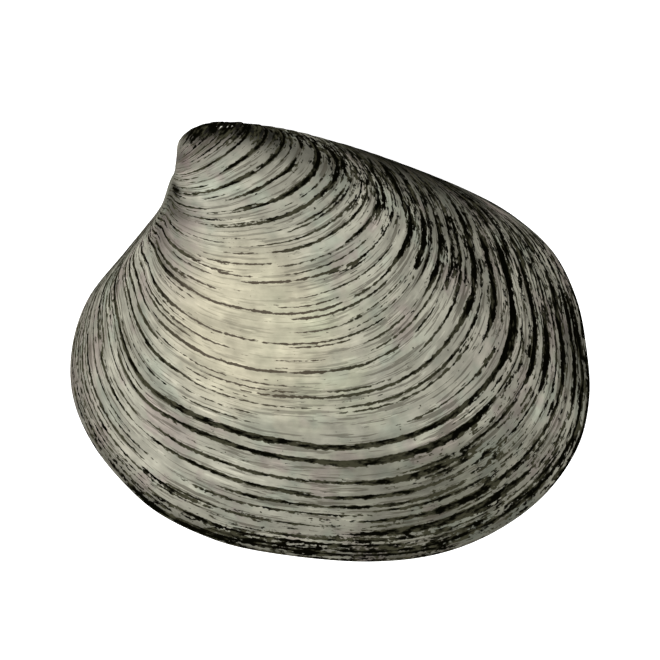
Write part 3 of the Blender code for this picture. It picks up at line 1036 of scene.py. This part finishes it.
def ground_colour(nodes, place, pale, green, mauve):
    """The colour of the outside between the strokes, with painted shade and painted highlight
    streaks.
    """
    cloud = nodes.noise(place, "cloud")
    mottle = nodes.noise(place, "mottle")
    cream = nodes.step(pale, *CREAM_FADE)
    plain = nodes.add_product(cream, -PLAIN_MOST, PLAIN_MOST)
    ground = nodes.blend(cream, PUTTY, CREAM)
    leaf = nodes.maths("MULTIPLY", green, nodes.step(cloud, *GREEN_FADE))
    ground = nodes.blend(leaf, ground, GREEN)
    moss = nodes.maths("MULTIPLY", nodes.step(nodes.noise(place, "moss"), *MOSS_FADE), plain)
    ground = nodes.blend(moss, ground, MOSS)
    patch = nodes.maths("MULTIPLY", mauve, nodes.step(mottle, *MAUVE_FADE))
    stray = nodes.maths("MULTIPLY", nodes.step(cloud, *STRAY_FADE), plain)
    ground = nodes.blend(nodes.maths("MAXIMUM", patch, stray, clamp=True), ground, MAUVE)
    ground = nodes.shade(ground, nodes.add_product(mottle, *MOTTLE_BY))
    ground = nodes.shade(ground, nodes.add_product(nodes.noise(place, "blotch"), *BLOTCH_BY))
    # Painted shade, from the shade attribute
    ground = nodes.shade(ground, nodes.maths("POWER", nodes.attribute("shade"), SCREEN_GAMMA))
    hair = nodes.step(nodes.noise(place, "hair"), *HAIR_FADE)
    ground = nodes.shade(ground, nodes.add_product(hair, *HAIR_BY))
    wash = nodes.step(nodes.noise(place, "wash"), *WASH_FADE)
    wash = nodes.maths("MULTIPLY", wash, nodes.add_product(pale, *WASH_PALE_BY))
    ground = nodes.shade(ground, nodes.add_product(wash, *WASH_BY))
    faint = nodes.step(nodes.noise(place, "faint"), *FAINT_FADE)
    faint = nodes.maths("MULTIPLY", faint, nodes.add_product(pale, *FAINT_PALE_BY))
    ground = nodes.blend(faint, ground, INK_FAINT)
    # Painted highlight streaks
    glint = nodes.step(nodes.noise(place, "glint"), *GLINT_FADE)
    return nodes.shade(ground, nodes.add_product(glint, *GLINT_BY))


def stroke_ink(nodes, place, pale, ink, dark, chips):
    """1 on the strokes, which have frayed sides, chips and thin places."""
    fray = nodes.add_product(nodes.noise(place, "fray"), *FRAY_BY)
    chipped = nodes.maths("MULTIPLY", chips, nodes.maths("MULTIPLY", dark, CHIPS_IN_DARK))
    gap = nodes.step(nodes.noise(place, "gaps"), *GAP_FADE)
    thin = nodes.maths("MULTIPLY", gap, nodes.add_product(pale, *GAP_PALE_BY))
    rough = nodes.maths("ADD", fray, chipped)
    stroke = nodes.maths("SUBTRACT", nodes.maths("ADD", ink, rough), thin)
    return nodes.step(stroke, *STROKE_FADE)


def streak_ink(nodes, place, dark, slow, chips):
    """1 on the broken streaks and specks between the strokes, of which the dark areas have most."""
    breaks = nodes.add_product(nodes.noise(place, "breaks"), *BREAKS_BY)
    breaks = nodes.maths("ADD", breaks, nodes.maths("MULTIPLY", chips, BREAKS_CHIPS))
    open_dark = nodes.maths("MULTIPLY", dark, nodes.add_product(slow, *OPEN_BY))
    crowded_dark = nodes.maths("MULTIPLY", dark, slow)
    cover = nodes.step(nodes.noise(place, "specks"), *SPECK_FADE)
    for kind, crowded, fall, limit, softness, strength in STREAKS:
        here = nodes.add_product(crowded_dark if crowded else open_dark, fall, limit)
        streaks = nodes.maths("ADD", nodes.noise(place, kind), breaks)
        above = nodes.step(nodes.maths("SUBTRACT", streaks, here), 0.0, softness)
        cover = nodes.maths("MAXIMUM", cover, nodes.maths("MULTIPLY", above, strength))
    return cover


def ink_colour(nodes, place, pale, green, ink, dark):
    """The ink's colour: black, worn to olive in places, and faded on the cream patch, which is
    partly a painted highlight.
    """
    wear = nodes.noise(place, "wear")
    wear = nodes.maths("SUBTRACT", wear, nodes.maths("MULTIPLY", dark, WEAR_IN_DARK))
    wear = nodes.maths("ADD", wear, nodes.maths("MULTIPLY", green, WEAR_IN_GREEN))
    bold = nodes.step(ink, *BOLD_FADE)
    bold = nodes.maths("MULTIPLY", bold, nodes.add_product(pale, *BOLD_PALE_BY))
    wear = nodes.step(nodes.maths("SUBTRACT", wear, bold), *OLIVE_FADE)
    colour = nodes.blend(wear, INK_DARK, INK_OLIVE)
    return nodes.blend(nodes.step(pale, *INK_PALE_FADE), colour, INK_PALE)


def outside_colour(nodes, place):
    """The outside's colour, and how much ink there is at each point."""
    pale, green, mauve = nodes.parts(nodes.attribute("tint", "Vector"))
    ink = nodes.attribute("ink")
    dark = nodes.attribute("dark")
    chips = nodes.add_product(nodes.noise(place, "chips"), *CHIPS_BY)
    strokes = stroke_ink(nodes, place, pale, ink, dark, chips)
    streaks = streak_ink(nodes, place, dark, nodes.attribute("slow"), chips)
    inked = nodes.maths("MAXIMUM", strokes, streaks, clamp=True)
    ground = ground_colour(nodes, place, pale, green, mauve)
    colour = nodes.blend(inked, ground, ink_colour(nodes, place, pale, green, ink, dark))
    # Painted highlights: pale flecks on the umbo's dark top
    highlight_fleck = nodes.step(nodes.attribute("highlight_fleck"), *HIGHLIGHT_FLECK_FADE)
    return nodes.blend(highlight_fleck, colour, PAINTED_HIGHLIGHT), inked


def inside_colour(nodes, place):
    """The pale lining's colour, with the scars and the mantle's line."""
    mantle = nodes.step(nodes.maths("ABSOLUTE", nodes.attribute("ink")), *MANTLE_FADE)
    mantle = nodes.maths("MULTIPLY", mantle, nodes.attribute("slow"))
    scars = nodes.step(nodes.attribute("dark"), *SCAR_FADE)
    bands = nodes.step(nodes.noise(place, "bands"), *BAND_FADE)
    lining = nodes.blend(bands, LINING, LINING_DEEP)
    return nodes.blend(nodes.maths("MAXIMUM", mantle, scars), lining, SCAR)


def add_bump(nodes, place, inked, inner):
    """Fine threads and grain on the outside, and none in the lining."""
    grain = nodes.maths("MULTIPLY", nodes.noise(place, "grain"), BUMP_GRAIN)
    height = nodes.maths("ADD", nodes.noise(place, "threads"), grain)
    height = nodes.maths("SUBTRACT", height, nodes.maths("MULTIPLY", inked, BUMP_INK))
    height = nodes.maths("MULTIPLY", height, nodes.maths("SUBTRACT", 1.0, inner))
    bump = nodes.tree.nodes.new("ShaderNodeBump")
    bump.inputs["Strength"].default_value = BUMP_STRENGTH
    bump.inputs["Distance"].default_value = BUMP_DEPTH
    nodes.link(height, bump.inputs["Height"])
    nodes.link(bump.outputs[0], nodes.shader.inputs["Normal"])


def shell_material():
    """The drawn outside and the pale lining, in one material."""
    material = bpy.data.materials.new("shell_surface")
    nodes = Nodes(material)
    shader = nodes.shader.inputs
    place = nodes.attribute("place", "Vector")
    inner = nodes.step(nodes.attribute("inner"), *INNER_FADE)
    outside, inked = outside_colour(nodes, place)
    nodes.link(nodes.blend(inner, outside, inside_colour(nodes, place)), shader["Base Color"])
    roughness = nodes.add_product(inner, LINING_ROUGHNESS - OUTSIDE_ROUGHNESS, OUTSIDE_ROUGHNESS)
    nodes.link(roughness, shader["Roughness"])
    shader["Specular IOR Level"].default_value = 0.0
    nodes.link(nodes.maths("MULTIPLY", inner, LINING_COAT), shader["Coat Weight"])
    shader["Coat Roughness"].default_value = LINING_COAT_ROUGHNESS
    add_bump(nodes, place, inked, inner)
    return material


def add_valve():
    """Adds the skin, which stands for the frame's plain valve."""
    valve = bpy.data.objects.new("shell_valve", skin_mesh())
    bpy.context.scene.collection.objects.link(valve)
    valve.data.materials.append(shell_material())
    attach(valve, "root")
    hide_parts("valve")


def add_floor():
    """Adds a plain pale floor, which glows a little so that it renders white."""
    mesh = bpy.data.meshes.new("floor")
    half = FLOOR_SIZE / 2
    corners = [(-half, -half, 0.0), (half, -half, 0.0), (half, half, 0.0), (-half, half, 0.0)]
    mesh.from_pydata(corners, [], [(0, 1, 2, 3)])
    floor = bpy.data.objects.new("floor", mesh)
    bpy.context.scene.collection.objects.link(floor)
    material = bpy.data.materials.new("floor_paper")
    nodes = Nodes(material)
    nodes.shader.inputs["Base Color"].default_value = FLOOR_COLOUR
    nodes.shader.inputs["Roughness"].default_value = FLOOR_ROUGHNESS
    nodes.shader.inputs["Specular IOR Level"].default_value = 0.0
    nodes.shader.inputs["Emission Color"].default_value = FLOOR_COLOUR
    nodes.shader.inputs["Emission Strength"].default_value = FLOOR_GLOW
    mesh.materials.append(material)


def add_lights():
    """Adds one large soft light on the left, and an even white sky."""
    light = bpy.data.lights.new("key", "AREA")
    light.shape = "DISK"
    light.size = KEY_SIZE
    light.energy = KEY_POWER
    key = bpy.data.objects.new("key", light)
    key.location = KEY_PLACE
    key.rotation_euler = Vector(KEY_PLACE).to_track_quat("Z", "Y").to_euler()
    bpy.context.scene.collection.objects.link(key)
    world = bpy.data.worlds.new("studio")
    world.use_nodes = True
    background = world.node_tree.nodes["Background"]
    background.inputs["Color"].default_value = SKY_COLOUR
    background.inputs["Strength"].default_value = SKY_STRENGTH
    bpy.context.scene.world = world


def add_camera():
    """Adds the camera, straight above, with a long lens and the photograph's width in view."""
    data = bpy.data.cameras.new("camera")
    data.sensor_width = SENSOR
    data.lens = SENSOR * CAMERA_HEIGHT / PHOTO_WIDTH
    data.clip_start = CLIP_START
    data.clip_end = CLIP_END
    camera = bpy.data.objects.new("camera", data)
    camera.location = (*PHOTO_MIDDLE, CAMERA_HEIGHT)
    bpy.context.scene.collection.objects.link(camera)
    bpy.context.scene.camera = camera
    bpy.context.scene.view_settings.view_transform = "Standard"


add_camera()
add_lights()
add_floor()
add_valve()
